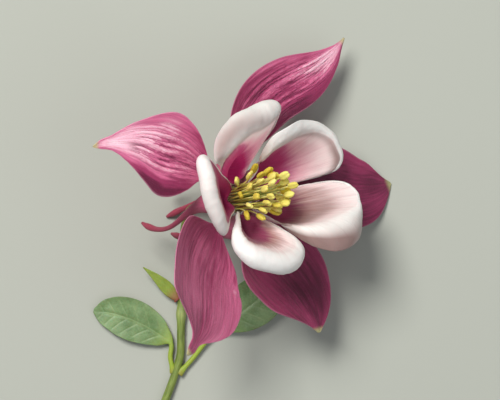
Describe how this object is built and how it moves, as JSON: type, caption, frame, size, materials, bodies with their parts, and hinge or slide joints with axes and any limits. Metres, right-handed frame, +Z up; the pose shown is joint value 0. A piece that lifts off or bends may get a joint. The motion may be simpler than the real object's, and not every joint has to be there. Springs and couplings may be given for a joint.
{
  "type": "columbine flower stem",
  "caption": "Cut flowering stem of columbine with a bicoloured spurred flower and small leaves, lying on a surface.",
  "frame": {"origin": "bottom centre of the bounding box, on the surface that the stem lies on", "axes": "+Z up from the surface, +Y from the cut end towards the flower, +X to the right as seen from above"},
  "size_m": [0.0686, 0.1852, 0.0562],
  "materials": {
    "sepal": "matte, veined and finely wrinkled, rose-purple",
    "petal": "matte, white lip, wine-red throat and rose spur",
    "stamen": "matte, lemon-yellow anther on a pale green filament",
    "carpel": "matte, pale green",
    "receptacle": "matte, yellow-green",
    "stem": "satin, green, reddish at the joint",
    "leaf": "matte, grey-green, veined",
    "bract": "matte, bright green with a reddish base"
  },
  "bodies": {
    "root": {"receptacle": "receptacle", "sepal_top": "sepal", "sepal_right": "sepal", "sepal_lower_right": "sepal", "sepal_lower_left": "sepal", "sepal_left": "sepal", "petal_upper_left": "petal", "petal_upper_right": "petal", "petal_right": "petal", "petal_bottom": "petal", "petal_left": "petal", "stamen_01": "stamen", "stamen_02": "stamen", "stamen_03": "stamen", "stamen_04": "stamen", "stamen_05": "stamen", "stamen_06": "stamen", "stamen_07": "stamen", "stamen_08": "stamen", "stamen_09": "stamen", "stamen_10": "stamen", "stamen_11": "stamen", "stamen_12": "stamen", "stamen_13": "stamen", "stamen_14": "stamen", "stamen_15": "stamen", "stamen_16": "stamen", "stamen_17": "stamen", "stamen_18": "stamen", "stamen_19": "stamen", "stamen_20": "stamen", "stamen_21": "stamen", "stamen_22": "stamen", "stamen_23": "stamen", "stamen_24": "stamen", "stamen_25": "stamen", "stamen_26": "stamen", "stamen_27": "stamen", "stamen_28": "stamen", "stamen_29": "stamen", "stamen_30": "stamen", "stamen_31": "stamen", "stamen_32": "stamen", "stamen_33": "stamen", "stamen_34": "stamen", "stamen_35": "stamen", "stamen_36": "stamen", "carpel_1": "carpel", "carpel_2": "carpel", "carpel_3": "carpel", "carpel_4": "carpel", "carpel_5": "carpel", "stem": "stem", "leaf_left": "leaf", "leaf_right": "leaf", "bract": "bract"}
  },
  "joints": []
}
